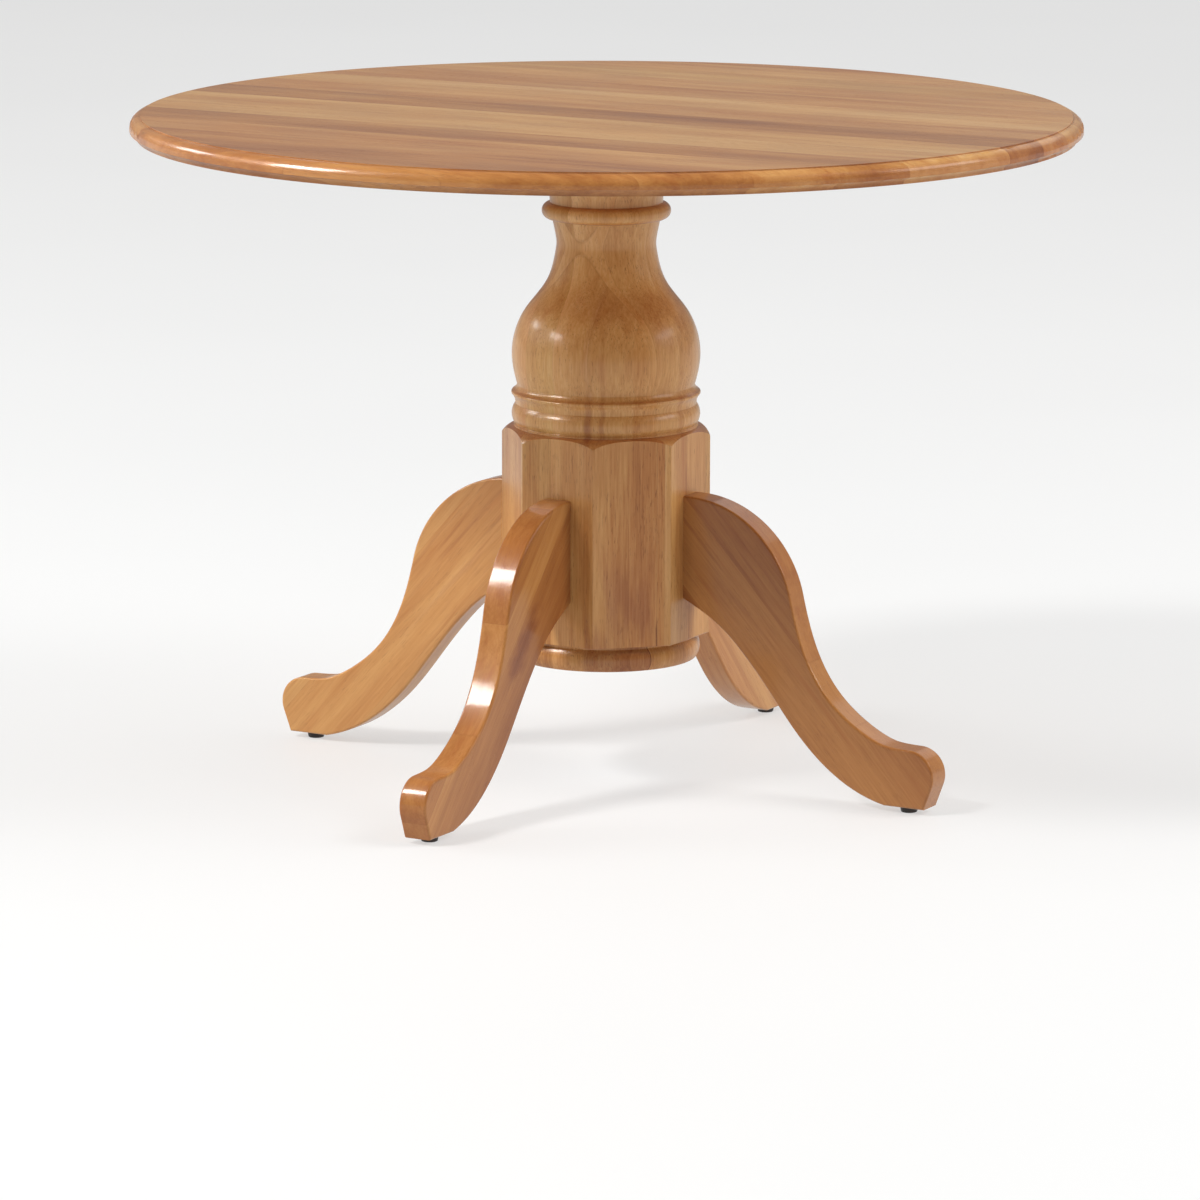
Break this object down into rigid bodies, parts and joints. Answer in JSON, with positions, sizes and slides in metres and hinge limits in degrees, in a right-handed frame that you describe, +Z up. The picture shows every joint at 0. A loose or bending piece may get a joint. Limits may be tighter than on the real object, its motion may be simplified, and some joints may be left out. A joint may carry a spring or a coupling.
{
  "type": "round pedestal table",
  "caption": "Round hardwood dining table on a turned pedestal with an octagonal block, scrolled legs and levelling glides.",
  "frame": {"origin": "on the floor under the middle of the column", "axes": "+Z up; the four legs point along -Y (front), +X (right), +Y (back) and -X (left)"},
  "size_m": [1.0699, 1.07, 0.76],
  "materials": {
    "top_wood": "satin lacquer over honey-coloured hardwood",
    "bearer_wood": "satin lacquer, plain hardwood",
    "column_wood": "satin-gloss lacquer over turned hardwood",
    "leg_wood": "satin-gloss lacquer over hardwood",
    "dowel_wood": "bare beech",
    "zinc_steel": "bright zinc plate",
    "glide_plastic": "dark brown moulded plastic"
  },
  "bodies": {
    "table": {"table_top": "top_wood", "bearer_left_to_right": "bearer_wood", "bearer_front_to_back": "bearer_wood", "column": "column_wood", "leg_front": "leg_wood", "leg_right": "leg_wood", "leg_back": "leg_wood", "leg_left": "leg_wood", "leg_dowels": "dowel_wood", "leg_hanger_bolts": "zinc_steel", "leg_bolt_washers": "zinc_steel", "leg_bolt_spring_washers": "zinc_steel", "leg_bolt_nuts": "zinc_steel", "glide_inserts": "zinc_steel", "column_lag_screws": "zinc_steel", "column_lag_washers": "zinc_steel", "top_fixing_screws": "zinc_steel"},
    "glide_front": {"glide_base_front": "glide_plastic", "glide_stem_front": "zinc_steel"},
    "glide_right": {"glide_base_right": "glide_plastic", "glide_stem_right": "zinc_steel"},
    "glide_back": {"glide_base_back": "glide_plastic", "glide_stem_back": "zinc_steel"},
    "glide_left": {"glide_base_left": "glide_plastic", "glide_stem_left": "zinc_steel"}
  },
  "joints": [
    {"name": "glide_front_screw", "type": "slide", "parent": "table", "child": "glide_front", "axis": [0, 0, -1], "range_m": [0, 0.008]},
    {"name": "glide_right_screw", "type": "slide", "parent": "table", "child": "glide_right", "axis": [0, 0, -1], "range_m": [0, 0.008]},
    {"name": "glide_back_screw", "type": "slide", "parent": "table", "child": "glide_back", "axis": [0, 0, -1], "range_m": [0, 0.008]},
    {"name": "glide_left_screw", "type": "slide", "parent": "table", "child": "glide_left", "axis": [0, 0, -1], "range_m": [0, 0.008]}
  ]
}
